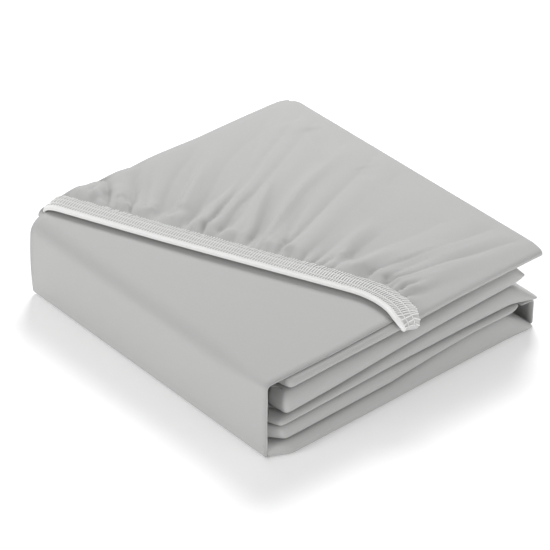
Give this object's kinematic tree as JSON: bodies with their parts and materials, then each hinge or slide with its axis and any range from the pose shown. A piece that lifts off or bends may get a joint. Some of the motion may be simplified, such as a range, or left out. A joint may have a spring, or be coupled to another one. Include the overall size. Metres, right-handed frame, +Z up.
{
  "type": "fitted sheet",
  "caption": "Fitted bed sheet folded into a flat square bundle, with its gathered corner and white elastic edge laid across the top.",
  "frame": {"origin": "centre of the bundle's bounding box, on the surface that it rests on", "axes": "+Z up, -Y towards the folded ridges at the front, -X towards the outer wall that wraps the whole bundle, +Y along the bundle's longest side"},
  "size_m": [0.25, 0.2816, 0.0714],
  "materials": {
    "sheet_cloth": "plain light grey woven cloth, matt",
    "elastic_band": "white knitted elastic with overlock stitching, matt"
  },
  "bodies": {
    "root": {"sheet_cloth": "sheet_cloth", "elastic_band": "elastic_band"}
  },
  "joints": []
}
